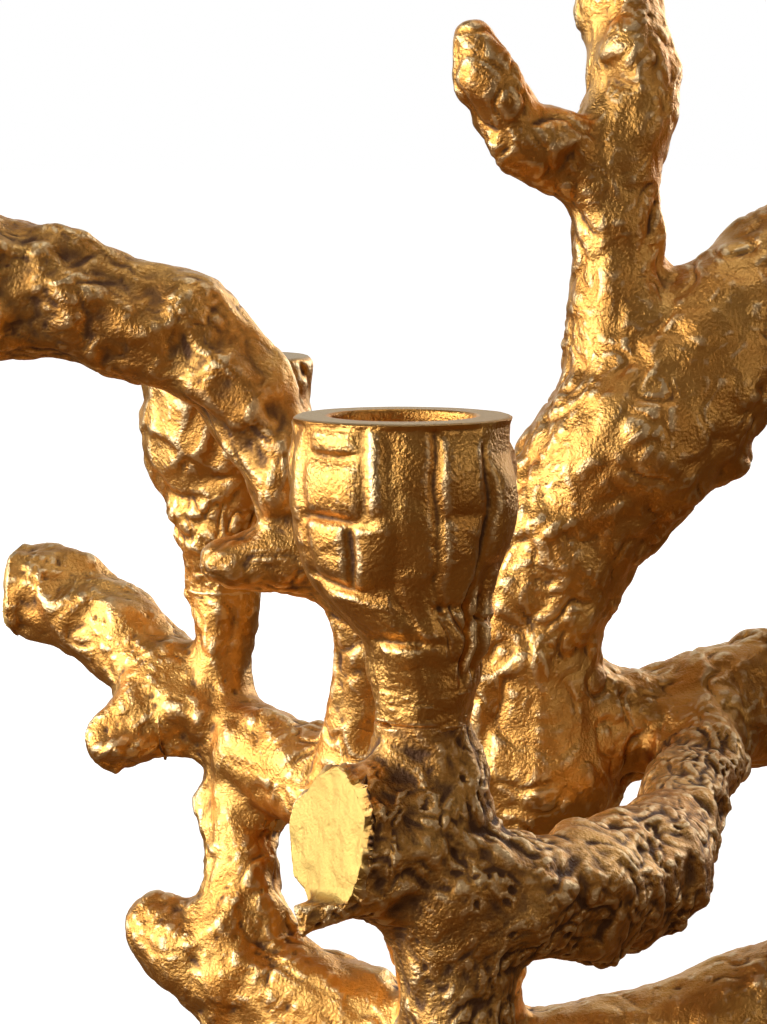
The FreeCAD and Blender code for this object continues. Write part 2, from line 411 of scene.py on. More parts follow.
# How strongly each casting shows lumps, chipped facets, streaks along it, foil wrinkles, rings round it, pits
COATS = {
    "base_casting": (0.9, 0.8, 0.8, 0.8, 0.3, 0.5),
    "trunk_casting": (0.9, 0.55, 0.55, 1.15, 0.1, 0.4),
    "top_branch": (0.6, 0.6, 0.5, 0.8, 0.3, 0.4),
    "right_upper_branch": (0.9, 0.6, 0.5, 1.1, 0.2, 0.4),
    "right_back_branch": (0.8, 0.7, 0.5, 0.9, 0.4, 0.5),
    "right_low_branch": (0.7, 0.7, 0.9, 0.7, 0.2, 0.5),
    "front_branch": (0.7, 0.5, 1.5, 1.0, 1.1, 1.6),
    "left_upper_branch": (1.1, 0.75, 0.7, 0.6, 0.2, 0.3),
    "left_middle_branch": (0.8, 1.0, 0.6, 0.7, 0.3, 0.6),
    "left_low_branch": (0.7, 0.8, 0.9, 0.7, 0.2, 0.6),
    "rear_branch": (0.8, 0.8, 0.7, 0.9, 0.3, 0.5),
}
# Castings whose gilding differs from the rest: the trunk's has less patina, a painted lit copy; the left upper
# branch's has more, a painted shaded copy; the front branch's has more, partly real patina and partly painted
# shade
FINISHES = {"front_branch": "gilt_front_patina_and_painted_shade", "left_upper_branch": "gilt_painted_shade", "trunk_casting": "gilt_painted_lit"}
PLAIN_COAT = (0.3, 0.2, 0.5, 0.5, 0.1, 0.2)
MOMENTS = ((0, 0), (0, 1), (0, 2), (1, 1), (1, 2), (2, 2))


def broad_relief(points, normals, around, coat, edges):
    """Height of the broad relief: swellings, chipped facets in patches, and soft hoops."""
    lumps, chips, _streaks, _folds, hoops, _pits = coat.T
    tables = [lattice(seed) for seed in range(11, 18)]
    warp = np.stack([noise(points, 11.0, tables[i]) for i in range(3)], axis=1)
    bent = points + 2.2 * warp
    height = lumps * (1.2 * noise(points, 19.0, tables[3]) + 0.7 * noise(bent, 9.5, tables[4]))
    patch = ramp(noise(points, 26.0, tables[5]), -0.4, 0.3)
    chipped = patch * facets(bent, normals, 13.0, 31, 0.24) + 0.3 * facets(bent, normals, 7.0, 37, 0.2)
    height += chips * 1.25 * relaxed(chipped, edges, 3)
    hoop = folded(smeared_noise(bent, 6.0, tables[6], around, 14.0), 0.2)
    return relaxed(height + hoops * 0.9 * (0.4 + 0.6 * patch) * hoop, edges, 2)


def fine_relief(points, along, coat):
    """Height of the fine relief: ridges along the limb, foil-like folds, pits and a hammered skin."""
    _lumps, _chips, streaks, folds, _hoops, pits = coat.T
    tables = [lattice(seed) for seed in range(21, 29)]
    warp = np.stack([noise(points, 6.0, tables[i]) for i in range(3)], axis=1)
    bent = points + 1.5 * warp
    patch = ramp(noise(points, 17.0, tables[3]), -0.25, 0.3)
    other = ramp(noise(points, 13.0, tables[7]), -0.2, 0.35)
    run = smeared_noise(bent, 4.8, tables[4], along, 14.0, samples=6)
    fine_run = smeared_noise(bent, 2.4, tables[5], along, 7.0, samples=5)
    height = streaks * (0.35 + 0.65 * patch) * (0.42 * folded(run, 0.28) + 0.42 * run)
    height += streaks * (0.3 + 0.7 * other) * 0.24 * folded(fine_run, 0.3)
    height += folds * ((0.25 + 0.35 * other) * folded(noise(bent, 6.8, tables[5]), 0.2)
                       + 0.26 * patch * folded(noise(bent, 3.5, tables[6]), 0.24))
    height += folds * 0.38 * noise(bent, 5.6, tables[7]) + 0.12 * noise(bent, 2.6, tables[2])
    _number, way, _second = cell_numbers(bent, 2.8, 41)
    sparse = ramp(noise(points, 10.0, tables[0]), -0.05, 0.4)
    return height - pits * 0.42 * sparse * (1 - ramp(way, 0.25, 1.15))


def part_coats(names, part, edges):
    """Six coat strengths at each point, from its casting, eased across the joints."""
    table = np.array([COATS.get(name, PLAIN_COAT) for name in names], float)
    return relaxed(table[part], edges, 12, 0.6)


# Sawn ends: middle of the face, facing direction, radius, way down to where a chin may stand out
SAWN_ENDS = (((-11.5, -106.5, 110.5), (-12.5, -8.0, 2.5), 12.3, 7.5),
             ((-82.5, 91.0, 122.0), (-10.0, 2.0, 0.5), 10.4, 99.0))
# How far behind a sawn face the limb is drawn out, a little and fully, and how far a chin may stand in front
SAWN_DEPTH, SAWN_FULL, CHIN_DEPTH, CHIN_EASE = 5.0, 2.8, 12.0, 3.0


def squared_end(points, centre, facing, radius, chin):
    """Points with a limb's rounded end drawn out to a flat sawn face, and the face's mask.

    The face's edge is a circle with small waves. A point inside it near the end moves to
    the face or to the wall, whichever is nearer. Further than the chin's way below the
    middle, what stands in front of the face stays.
    """
    facing = np.array(facing, float) / np.linalg.norm(facing)
    side = np.cross(facing, (0, 0, 1))
    side /= np.linalg.norm(side)
    away = points - centre
    depth = away @ facing
    across, upward = away @ side, away @ np.cross(side, facing)
    radial, angle = np.hypot(across, upward), np.arctan2(upward, across)
    edge = radius - 0.3 + 0.35 * np.cos(3 * angle + 1) + 0.3 * np.cos(5 * angle) + 0.25 * np.cos(11 * angle + 2)
    near = (depth > -SAWN_DEPTH) & (depth < CHIN_DEPTH) & (radial < edge)
    on_face = near & (-depth < edge - radial)
    on_wall = near & ~on_face
    spared = np.where(depth > 0, ramp(-upward, chin, chin + CHIN_EASE), 0)
    share = ramp(depth, -SAWN_DEPTH, -SAWN_FULL) * (1 - spared)
    out = away - depth[:, None] * facing
    out /= np.maximum(np.linalg.norm(out, axis=1, keepdims=True), 1e-6)
    moved = points - np.where(on_face, share * depth, 0)[:, None] * facing
    moved += np.where(on_wall, share * (edge - radial), 0)[:, None] * out
    clean = ramp(share, 0.5, 1.0) * (1 - ramp(radial, edge - 1.6, edge - 0.6))
    return moved, np.where(on_face, clean, 0)


def place_on_rod(points, centre, axis):
    """Height along a rod from its middle, and way from its line."""
    away = points - centre
    height = away @ axis
    return height, np.linalg.norm(away - height[:, None] * axis, axis=1)


def joint_sides(points, part, rods):
    """Node numbers made exact at each joint, and each joint's centre, axis and two node numbers.

    A joint is between the commonest numbers on the two sides of the stud's middle plane.
    Only points of those two pieces, near the stud, are sorted by side.
    """
    part = part.copy()
    joints = []
    for centre, axis in rods:
        height, radial = place_on_rod(points, centre, axis)
        core = (np.abs(height) < JOINT_HALF) & (radial < JOINT_REACH)
        below = np.bincount(part[core & (height < -2.0)]).argmax()
        above = np.bincount(part[core & (height > 2.0)]).argmax()
        near = core & ((part == below) | (part == above))
        part[near & (height < 0)] = below
        part[near & (height >= 0)] = above
        joints.append((centre, axis, below, above))
    return part, joints


def seam_points(quads, face_part):
    """Numbers of the points where faces of different pieces meet."""
    count = quads.max() + 1
    low, high = np.full(count, 999), np.full(count, -1)
    for corner in quads.T:
        np.minimum.at(low, corner, face_part)
        np.maximum.at(high, corner, face_part)
    return np.flatnonzero(low != high)


def settled_faces(quads, number):
    """Piece numbers of the faces, freed of stray patches and of pieces that touch only at corners.

    A patch that is not the largest with its number takes the number it borders most. Where
    four or more seam edges meet at a point, all its faces take the lowest number there.
    """
    number, count = number.copy(), quads.max() + 1
    ends = np.sort(np.stack((quads, np.roll(quads, -1, axis=1)), axis=-1).reshape(-1, 2), axis=1)
    order = np.argsort(ends[:, 0] * count + ends[:, 1], kind="stable")
    pairs = np.repeat(np.arange(len(quads)), 4)[order].reshape(-1, 2)
    ends = ends[order][::2]
    for _ in range(5):
        same = number[pairs[:, 0]] == number[pairs[:, 1]]
        kinds, patch, sizes = np.unique(islands(len(quads), pairs[same]), return_inverse=True, return_counts=True)
        owner = np.zeros(len(kinds), int)
        owner[patch] = number
        largest = [np.flatnonzero(owner == value)[sizes[owner == value].argmax()] for value in np.unique(owner)]
        border = np.concatenate((pairs[~same], pairs[~same][:, ::-1]))
        for stray in np.setdiff1d(np.arange(len(kinds)), largest):
            beyond = number[border[patch[border[:, 0]] == stray, 1]]
            number[patch == stray] = np.bincount(beyond).argmax()
        same = number[pairs[:, 0]] == number[pairs[:, 1]]
        crossing = np.bincount(ends[~same].ravel(), minlength=count) > 3
        lowest = np.full(count, 999)
        for corner in quads.T:
            np.minimum.at(lowest, corner, number)
        hit = crossing[quads].any(axis=1)
        number[hit] = np.where(crossing[quads[hit]], lowest[quads[hit]], 999).min(axis=1)
    return number


def levelled_seams(points, normals, seam, part, joints):
    """Points with each seam's moved along the surface towards the stud's middle plane.

    The step is the height over the plane, divided by the share of the surface that climbs.
    """
    points = points.copy()
    for centre, axis, below, above in joints:
        height, radial = place_on_rod(points[seam], centre, axis)
        own = (part[seam] == below) | (part[seam] == above)
        near = own & (np.abs(height) < SEAM_NEAR) & (radial < JOINT_REACH)
        slope = normals[seam[near]] @ axis
        run = axis - slope[:, None] * normals[seam[near]]
        step = np.clip(-height[near] / np.maximum(1 - slope ** 2, 0.4), -SEAM_STEP, SEAM_STEP)
        points[seam[near]] += step[:, None] * run
    return points


def own_part(quads, chosen):
    """Numbers of the chosen quads' points, the quads renumbered, and their open edges."""
    own = quads[chosen]
    used, faces = np.unique(own, return_inverse=True)
    faces = faces.reshape(-1, 4)
    directed = np.stack((faces, np.roll(faces, -1, axis=1)), axis=-1).reshape(-1, 2)
    key = directed[:, 0] * len(used) + directed[:, 1]
    back = directed[:, 1] * len(used) + directed[:, 0]
    return used, faces, directed[~np.isin(key, back)]


def tucked_rings(points, rim):
    """Points with a smaller, smoother copy of each open ring, and the quads between ring and copy."""
    own, ends = np.unique(rim, return_inverse=True)
    ends = ends.reshape(-1, 2)
    ring = relaxed(points[own], ends, 6)
    _loops, loop = np.unique(islands(len(own), ends), return_inverse=True)
    middle = np.stack([np.bincount(loop, weights=ring[:, i]) for i in range(3)], axis=1)
    inward = (middle / np.bincount(loop)[:, None])[loop] - ring
    ring += TUCK * inward / np.maximum(np.linalg.norm(inward, axis=1, keepdims=True), 1e-6)
    copy = len(points) + ends
    quads = np.stack((rim[:, 1], rim[:, 0], copy[:, 0], copy[:, 1]), axis=1)
    return np.concatenate((points, ring)), quads


def close_openings(mesh):
    """Cap each open ring of a mesh with one face, cut into triangles by ear clipping."""
    work = bmesh.new()
    work.from_mesh(mesh)
    openings = [edge for edge in work.edges if edge.is_boundary]
    caps = bmesh.ops.holes_fill(work, edges=openings, sides=0)["faces"]
    bmesh.ops.triangulate(work, faces=caps, ngon_method="EAR_CLIP")
    if any(edge.is_boundary for edge in work.edges):
        raise RuntimeError(mesh.name + " still has an opening")
    work.to_mesh(mesh)
    work.free()


def mark_sharp(mesh, pairs):
    """Edges between the given pairs of points made sharp."""
    count = len(mesh.vertices)
    ends = np.empty(len(mesh.edges) * 2, np.int32)
    mesh.edges.foreach_get("vertices", ends)
    ends = np.sort(ends.reshape(-1, 2).astype(np.int64), axis=1)
    wanted = np.sort(pairs, axis=1)
    sharp = np.isin(ends[:, 0] * count + ends[:, 1], wanted[:, 0] * count + wanted[:, 1])
    layer = mesh.attributes.get("sharp_edge") or mesh.attributes.new("sharp_edge", "BOOLEAN", "EDGE")
    old = np.empty(len(sharp), bool)
    layer.data.foreach_get("value", old)
    layer.data.foreach_set("value", sharp | old)


# Points of the skin round each cup, kept for the cup's neck
NECKS = {}


# ---------------------------------------------------------------- candle cups


# Outside of a cup: way below the rim, radius
CUP_OUTLINE = ((0.0, 17.1), (4.0, 17.5), (9.0, 17.95), (14.0, 17.9), (19.0, 17.1), (23.0, 16.1), (27.5, 14.2),
               (30.0, 13.1), (32.5, 11.6), (35.0, 10.5), (37.5, 9.8), (40.0, 8.8), (43.0, 7.9), (46.0, 7.5),
               (48.5, 7.6))
# Ways below the rim, from and to which the cup leans to its foot, and its radius turns into the skin's own
LEAN_FROM, LEAN_TO = 25.0, 37.0
NECK_FROM, NECK_TO = 36.0, 44.0
NECK_LEAD = 4.0
NECK_BINS = (72, 40)
SKIRT = 2.4
# Rings of the hidden skirt under the cup: way below its foot, way inwards
SKIRT_RINGS = ((0.5, 0.10), (1.1, 0.30), (1.8, 0.65), (1.8, 3.0))
# Radius that turns an angle into a way round the wall, in the tables of plates and channels
CUP_GIRTH = 17.0
RIM_BEVEL = 0.35


def line_distance(across, drop, path):
    """Least way from each place on the cup's unrolled wall to a row of straight runs."""
    best = np.full(across.shape, 99.0)
    for (x0, y0), (x1, y1) in zip(path[:-1], path[1:]):
        run = np.array((x1 - x0, y1 - y0))
        share = ((across - x0) * run[0] + (drop - y0) * run[1]) / (run @ run)
        share = np.clip(share, 0, 1)
        way = np.hypot(across - x0 - share * run[0], drop - y0 - share * run[1])
        best = np.minimum(best, way)
    return best


def groove(across, drop, path, width, depth):
    """A channel with low raised lips along a path: a bell of the way from it, less a wider, lower bell."""
    way = line_distance(across, drop, path)
    return depth * (0.35 * np.exp(-((way / (2.3 * width)) ** 2)) - 1.3 * np.exp(-((way / width) ** 2)))


def pillow(across, drop, centre, half, height):
    """A swollen plate: height times (1 - u^4)(1 - v^4), u and v being the shares of its half sizes."""
    u = np.clip(np.abs(across - centre[0]) / half[0], 0, 1)
    v = np.clip(np.abs(drop - centre[1]) / half[1], 0, 1)
    return height * (1 - u ** 4) * (1 - v ** 4)


# Swollen plates of the front cup: way round from its front, way below the rim, half sizes, height
FRONT_PLATES = (
    ((-11.8, 10.0), (5.9, 4.6), 0.95), ((-12.0, 3.0), (4.8, 1.9), 0.75), ((-4.3, 7.5), (1.6, 7.0), 0.75),
    ((-13.0, 19.6), (4.6, 5.0), 0.85), ((-4.9, 20.2), (3.4, 5.6), 0.7), ((-9.5, 29.6), (9.0, 3.7), 1.05),
    ((-6.5, 38.4), (6.5, 3.7), 0.9), ((1.5, 9.0), (2.4, 8.5), 0.25), ((9.3, 8.0), (4.2, 6.0), 0.7),
    ((9.6, 21.6), (4.6, 7.2), 0.85), ((19.4, 14.0), (4.8, 8.6), 1.1), ((2.0, 30.0), (2.6, 8.0), 0.5),
    ((20.0, 32.0), (2.2, 9.0), 0.9), ((-21.0, 9.0), (2.6, 7.5), 0.6), ((-21.5, 22.0), (3.0, 6.0), 0.6))
# Channels of the front cup: paths of way round and way below the rim, width, depth
FRONT_CHANNELS = (
    (((-18.5, 15.0), (-11, 14.6), (-5.4, 15.6)), 0.75, 0.5), (((-6.2, 1.0), (-5.4, 7.5), (-6.0, 14.0)), 0.6, 0.4),
    (((-8.3, 16.6), (-8.2, 20.5), (-8.8, 24.8)), 0.7, 0.75), (((-19, 24.0), (-12, 25.4), (-4, 27.2)), 0.8, 0.55),
    (((4.6, 2.0), (4.9, 12.5), (5.8, 24.0), (7.0, 29.0)), 0.75, 0.65), (((6.0, 29.2), (13, 28.6)), 0.8, 0.6),
    (((13.6, 4.0), (14.6, 14.0), (13.4, 24.0)), 0.7, 0.6), (((13.5, 26), (12.6, 34.0), (12.0, 43.0)), 1.1, 1.7),
    (((16.8, 28.0), (16.4, 36.0), (17.0, 43.0)), 0.8, 0.9), (((-14, 34.0), (-4, 34.6), (6, 34.2)), 0.8, 0.5),
    (((-12, 42.6), (-2, 43.4), (5, 42.8)), 0.7, 0.4))


def front_marks(across, drop):
    """Plates and channels of the front cup's outside, and how far they hold: 1 at its front, 0 at its back."""
    marks = sum(pillow(across, drop, centre, half, height) for centre, half, height in FRONT_PLATES)
    marks = marks + sum(groove(across, drop, path, width, depth) for path, width, depth in FRONT_CHANNELS)
    window = ramp(across, -27, -21) * (1 - ramp(across, 23, 29))
    return marks, window


def neck_table(points, rim, lean, bottom):
    """Radius of the skin round a cup's neck, by direction and way below the rim.

    The skin's points are sorted into bins and averaged; empty bins take their neighbours' mean.
    """
    drop = rim[2] - points[:, 2]
    away = points[:, :2] - rim[:2] - ramp(drop, LEAN_FROM, LEAN_TO)[:, None] * lean
    radius = np.hypot(away[:, 0], away[:, 1])
    top, foot = NECK_FROM - NECK_LEAD, bottom + SKIRT
    chosen = (drop > top) & (drop < foot) & (radius > 4) & (radius < 15)
    across = (np.arctan2(away[:, 1], away[:, 0]) / (2 * math.pi)) % 1 * NECK_BINS[0]
    down = (drop - top) / (foot - top) * (NECK_BINS[1] - 1)
    down = np.clip(np.rint(down).astype(int), 0, NECK_BINS[1] - 1)
    flat = ((across.astype(int) % NECK_BINS[0]) * NECK_BINS[1] + down)[chosen]
    size = NECK_BINS[0] * NECK_BINS[1]
    count = np.bincount(flat, minlength=size).reshape(NECK_BINS).astype(float)
    total = np.bincount(flat, weights=radius[chosen], minlength=size).reshape(NECK_BINS)
    for _ in range(12):
        empty = count == 0
        total = np.where(empty, np.roll(total, 1, 0) + np.roll(total, -1, 0), total)
        count = np.where(empty, np.roll(count, 1, 0) + np.roll(count, -1, 0), count)
    return total / np.maximum(count, 1)


def table_value(table, direction, share):
    """Value between four bins of a table that closes round its first axis."""
    across = direction / (2 * math.pi) % 1 * table.shape[0] - 0.5
    down = np.clip(share, 0, 1) * (table.shape[1] - 1)
    left, above = np.floor(across).astype(int), np.minimum(down.astype(int), table.shape[1] - 2)
    u, v = across - left, down - above
    left, right = left % table.shape[0], (left + 1) % table.shape[0]
    upper = table[left, above] * (1 - u) + table[right, above] * u
    lower = table[left, above + 1] * (1 - u) + table[right, above + 1] * u
    return upper * (1 - v) + lower * v


def cup_surface(name, columns, rows, turn, seed, hero):
    """Points, rim mask and outside mask of one cup, as a grid of angle by place along its section.

    The section starts at the middle of the bore's floor, climbs the bore, crosses the flat
    rim and runs down the outside; the wall's radius is the outline plus the plates,
    channels, facets and hammering, and it turns into the skin's own radius at the neck.
    """
    mount = MOUNTS[name.removeprefix("candle_cup_") + "_cup_bore"]
    rim = np.array(mount["pos_m"]) / MM
    bore, depth = mount["dims"]["r_mm"], mount["dims"]["length_mm"]
    low = np.array(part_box(name)[0]) / MM
    neck_points, _faces = merged_node(name)
    foot = neck_points[neck_points[:, 2] < low[2] + 0.2]
    lean = (foot.min(axis=0) + foot.max(axis=0))[:2] / 2 - rim[:2]
    bottom = rim[2] - low[2]
    drop, theta = np.meshgrid(np.linspace(0, bottom, rows), np.linspace(0, 2 * math.pi, columns, endpoint=False),
                              indexing="ij")
    outline = np.array(CUP_OUTLINE)
    wall = np.interp(drop[:, 0] * CUP_OUTLINE[-1][0] / bottom, outline[:, 0], outline[:, 1])
    wall = np.convolve(np.pad(wall, 8, "edge"), np.ones(17) / 17, "valid")
    across = (theta - math.pi) * CUP_GIRTH
    direction = theta - math.pi + turn - math.pi / 2
    unit = np.stack((np.cos(direction), np.sin(direction)), axis=-1)
    places = np.concatenate((unit * wall[:, None, None], -drop[..., None]), axis=-1).reshape(-1, 3) + 50 * seed
    facing = np.concatenate((unit, np.zeros(drop.shape + (1,))), axis=-1).reshape(-1, 3)
    tables = [lattice(seed + i) for i in range(5)]
    warp = np.stack([noise(places, 8.0, tables[i]) for i in range(2)], axis=1)
    bent = places + np.repeat(warp, (1, 2), axis=1)
    some = ramp(noise(places, 10.0, tables[4]), 0.05, 0.4)
    chipped = facets(bent, facing, 8.0, seed, 0.12)
    _number, nearest, second = cell_numbers(bent * (1, 1, 0.7), 8.5, seed + 3)
    scales = ramp(second - nearest, 0.0, 2.2) * (0.5 + 0.5 * some)
    hammer = 0.6 * noise(places, 9.0, tables[2]) + 0.2 * some * folded(noise(bent, 5.5, tables[3]), 0.1)
    crumple = 0.06 * noise(bent, 1.9, tables[4]) + 0.03 * folded(noise(bent, 1.6, tables[0]), 0.2)
    chipped, scales, hammer, crumple = (part.reshape(drop.shape) for part in (chipped, scales, hammer, crumple))
    strings = folded(noise(places * (1, 1, 0.25), 3.2, tables[1]), 0.2).reshape(drop.shape) * ramp(drop, 25, 33)
    marks, window = front_marks(across + 0.8 * warp[:, 0].reshape(drop.shape),
                                drop + 0.6 * warp[:, 1].reshape(drop.shape))
    window = window * hero
    broad = (0.55 * chipped * (1 - 0.75 * window) + window * (1.15 * marks - 0.4)
             + (1 - window) * (0.85 * scales - 0.3) + hammer)
    strings *= (1 - window) * 0.5 + window * (ramp(across, 4, 12) * (1 - ramp(across, 26, 34)) + 0.2)
    for _ in range(columns // 75):
        broad = (broad + np.roll(broad, 1, 1) + np.roll(broad, -1, 1)) / 3
        broad[1:-1] = (broad[:-2] + broad[1:-1] + broad[2:]) / 3
    relief = (broad + crumple + 0.7 * strings) * ramp(drop, 0.1, 1.4)
    relief += 0.25 * noise(places * (1, 1, 0), 5.0, tables[2]).reshape(drop.shape) * (1 - ramp(drop, 0.1, 1.4))
    table = neck_table(NECKS[name], rim, lean, bottom)
    top = NECK_FROM - NECK_LEAD
    span = bottom + SKIRT - top
    neck = table_value(table, direction, (drop - top) / span)
    radius = wall[:, None] + relief
    radius += ramp(drop, NECK_FROM, NECK_TO) * (neck - radius)
    shift = ramp(drop, LEAN_FROM, LEAN_TO)[..., None] * lean
    outer = np.concatenate((rim[:2] + shift + unit * radius[..., None], (rim[2] - drop)[..., None]), axis=-1)
    section = [(bore, -depth), (bore, -depth * 0.75), (bore, -depth * 0.5), (bore, -depth * 0.25),
               (bore, -2.0), (bore, -0.9), (bore + 0.1, -0.35), (bore + RIM_BEVEL, 0.0)]
    inner = [np.concatenate((rim[:2] + unit[0] * r, np.full((columns, 1), rim[2] + z)), axis=-1)
             for r, z in section]
    edge = radius[0][:, None] - RIM_BEVEL
    dip = 0.12 * noise(np.concatenate((unit[0] * 14, np.zeros((columns, 1))), axis=1) + seed, 7.0, tables[0])
    flat = [np.concatenate((rim[:2] + unit[0] * (bore + RIM_BEVEL + (edge - bore - RIM_BEVEL) * share),
                            (rim[2] - np.abs(dip) * math.sin(math.pi * share))[:, None]), axis=-1)
            for share in np.linspace(0.1, 1, 10)]
    outer[0, :, 2] -= RIM_BEVEL
    skirt = []
    for below, tuck in SKIRT_RINGS:
        share = np.full(columns, (bottom + below - top) / span)
        ring = table_value(table, direction[0], share) - tuck
        skirt.append(np.concatenate((rim[:2] + lean + unit[0] * ring[:, None],
                                     np.full((columns, 1), low[2] - below)), axis=-1))
    grid = np.concatenate((np.stack(inner + flat), outer, np.stack(skirt)))
    on_rim = np.zeros(grid.shape[:2])
    on_rim[len(inner):len(inner) + len(flat)] = 1
    outside = np.zeros(grid.shape[:2], bool)
    outside[len(inner) + len(flat) + 3:-2] = True
    poles = np.array((rim - (0, 0, depth), (rim[0] + lean[0], rim[1] + lean[1], low[2] - SKIRT_RINGS[-1][0])))
    return grid, on_rim, outside, poles


def grid_quads(rows, columns):
    """Quads of a grid that closes on itself along its columns, facing away from rising rows."""
    row, column = np.meshgrid(np.arange(rows - 1), np.arange(columns), indexing="ij")
    right = (column + 1) % columns
    corners = (row * columns + column, (row + 1) * columns + column,
               (row + 1) * columns + right, row * columns + right)
    return np.stack(corners, axis=-1).reshape(-1, 4)


def pole_fan(ring, pole, outward):
    """Triangles from a ring of point numbers to one pole."""
    following = np.roll(ring, -1)
    first, second = (following, ring) if outward else (ring, following)
    return np.stack((first, second, np.full(len(ring), pole)), axis=1)


# ---------------------------------------------------------------- materials


def group_tree(name, inputs, outputs):
    """New node group with named number, colour and vector sockets."""
    tree = bpy.data.node_groups.new(name, "ShaderNodeTree")
    kinds = {"value": "NodeSocketFloat", "colour": "NodeSocketColor", "vector": "NodeSocketVector"}
    for label, kind, default in inputs:
        socket = tree.interface.new_socket(label, in_out="INPUT", socket_type=kinds[kind])
        if default is not None:
            socket.default_value = default
    for label, kind in outputs:
        tree.interface.new_socket(label, in_out="OUTPUT", socket_type=kinds[kind])
    return tree, tree.nodes.new("NodeGroupInput"), tree.nodes.new("NodeGroupOutput")


def node(tree, kind, **settings):
    """New node with its properties and unlinked inputs set."""
    made = tree.nodes.new(kind)
    for key, value in settings.items():
        if key.startswith("in_"):
            made.inputs[key[3:].replace("_", " ")].default_value = value
        else:
            setattr(made, key, value)
    return made


def maths(tree, operation, first, second=None, third=None, clamp=False):
    """Output of a Math node on sockets or numbers."""
    made = node(tree, "ShaderNodeMath", operation=operation, use_clamp=clamp)
    for socket, value in zip(made.inputs, (first, second, third)):
        if isinstance(value, bpy.types.NodeSocket):
            tree.links.new(value, socket)
        elif value is not None:
            socket.default_value = value
    return made.outputs[0]


def weighted(tree, *terms):
    """Sum of sockets, each times its weight."""
    total = 0.0
    for socket, weight in terms:
        total = maths(tree, "MULTIPLY_ADD", socket, weight, total)
    return total


def remapped(tree, value, low, high, to_low=0.0, to_high=1.0):
    """Value eased from one range to another."""
    made = node(tree, "ShaderNodeMapRange", interpolation_type="SMOOTHSTEP")
    tree.links.new(value, made.inputs["Value"])
    for key, number in (("From Min", low), ("From Max", high), ("To Min", to_low), ("To Max", to_high)):
        made.inputs[key].default_value = number
    return made.outputs["Result"]


def mixed(tree, share, first, second):
    """Colour between two colours or colour sockets."""
    made = node(tree, "ShaderNodeMix", data_type="RGBA")
    for socket, value in ((made.inputs[0], share), (made.inputs[6], first), (made.inputs[7], second)):
        if isinstance(value, bpy.types.NodeSocket):
            tree.links.new(value, socket)
        else:
            socket.default_value = value
    return made.outputs[2]


def noise_texture(tree, vector, scale, detail, roughness=0.55):
    """Factor of a noise texture."""
    made = node(tree, "ShaderNodeTexNoise", in_Scale=scale, in_Detail=detail, in_Roughness=roughness)
    tree.links.new(vector, made.inputs["Vector"])
    return made.outputs["Fac"]


def build_patina_group():
    """Mask of brown patina: hollows and blotches, less on crests. 1 is full patina."""
    tree, given, out = group_tree(
        "Patina mask",
        [("Vector", "vector", None), ("Hollow", "value", 0.5), ("Broad", "value", 0.5), ("Amount", "value", 0.5)],
        [("Patina", "value"), ("Crest", "value")])
    blotch = noise_texture(tree, given.outputs["Vector"], 42.0, 5.0, 0.62)
    speck = noise_texture(tree, given.outputs["Vector"], 420.0, 4.0, 0.7)
    hollow = given.outputs["Hollow"]
    total = weighted(tree, (hollow, 0.95), (given.outputs["Broad"], 0.55), (blotch, 0.55), (speck, 0.4),
                     (given.outputs["Amount"], 1.0))
    tree.links.new(remapped(tree, total, 1.32, 2.0), out.inputs["Patina"])
    crest = weighted(tree, (speck, 0.25), (hollow, -1.0))
    tree.links.new(remapped(tree, crest, -0.3, -0.08), out.inputs["Crest"])
    return tree


def build_grain_group():
    """Height of the casting's fine grain: sand pits, hammered dimples and hair-fine wrinkles."""
    tree, given, out = group_tree(
        "Casting grain",
        [("Vector", "vector", None), ("Scale", "value", 1.0)],
        [("Height", "value")])
    scaled = node(tree, "ShaderNodeVectorMath", operation="SCALE")
    tree.links.new(given.outputs["Vector"], scaled.inputs[0])
    tree.links.new(given.outputs["Scale"], scaled.inputs["Scale"])
    vector = scaled.outputs[0]
    coarse = noise_texture(tree, vector, 1600.0, 3.0, 0.62)
    fine = noise_texture(tree, vector, 3600.0, 2.0, 0.6)
    cells = node(tree, "ShaderNodeTexVoronoi", feature="SMOOTH_F1", in_Scale=1500.0)
    tree.links.new(vector, cells.inputs["Vector"])
    dimple = remapped(tree, cells.outputs["Distance"], 0.05, 0.6)
    tree.links.new(weighted(tree, (coarse, 0.9), (fine, 0.3), (dimple, 0.25)), out.inputs["Height"])
    return tree


def place_group(tree, group, vector):
    """A group's node in a material, fed with a place."""
    made = node(tree, "ShaderNodeGroup", node_tree=group)
    tree.links.new(vector, made.inputs["Vector"])
    return made


def attribute(tree, name):
    """Number that the mesh carries."""
    return node(tree, "ShaderNodeAttribute", attribute_name=name).outputs["Fac"]


def principled(name):
    """New material's tree, its Principled shader and its Object coordinates."""
    material = bpy.data.materials.new(name)
    material.use_nodes = True
    tree = material.node_tree
    shader = next(n for n in tree.nodes if n.type == "BSDF_PRINCIPLED")
    return material, tree, shader, node(tree, "ShaderNodeTexCoord").outputs["Object"]


def bumped(tree, shader, height, strength, distance):
    """Normal of a material, tilted by a height."""
    bump = node(tree, "ShaderNodeBump", in_Strength=strength, in_Distance=distance)
    tree.links.new(height, bump.inputs["Height"])
    tree.links.new(bump.outputs["Normal"], shader.inputs["Normal"])


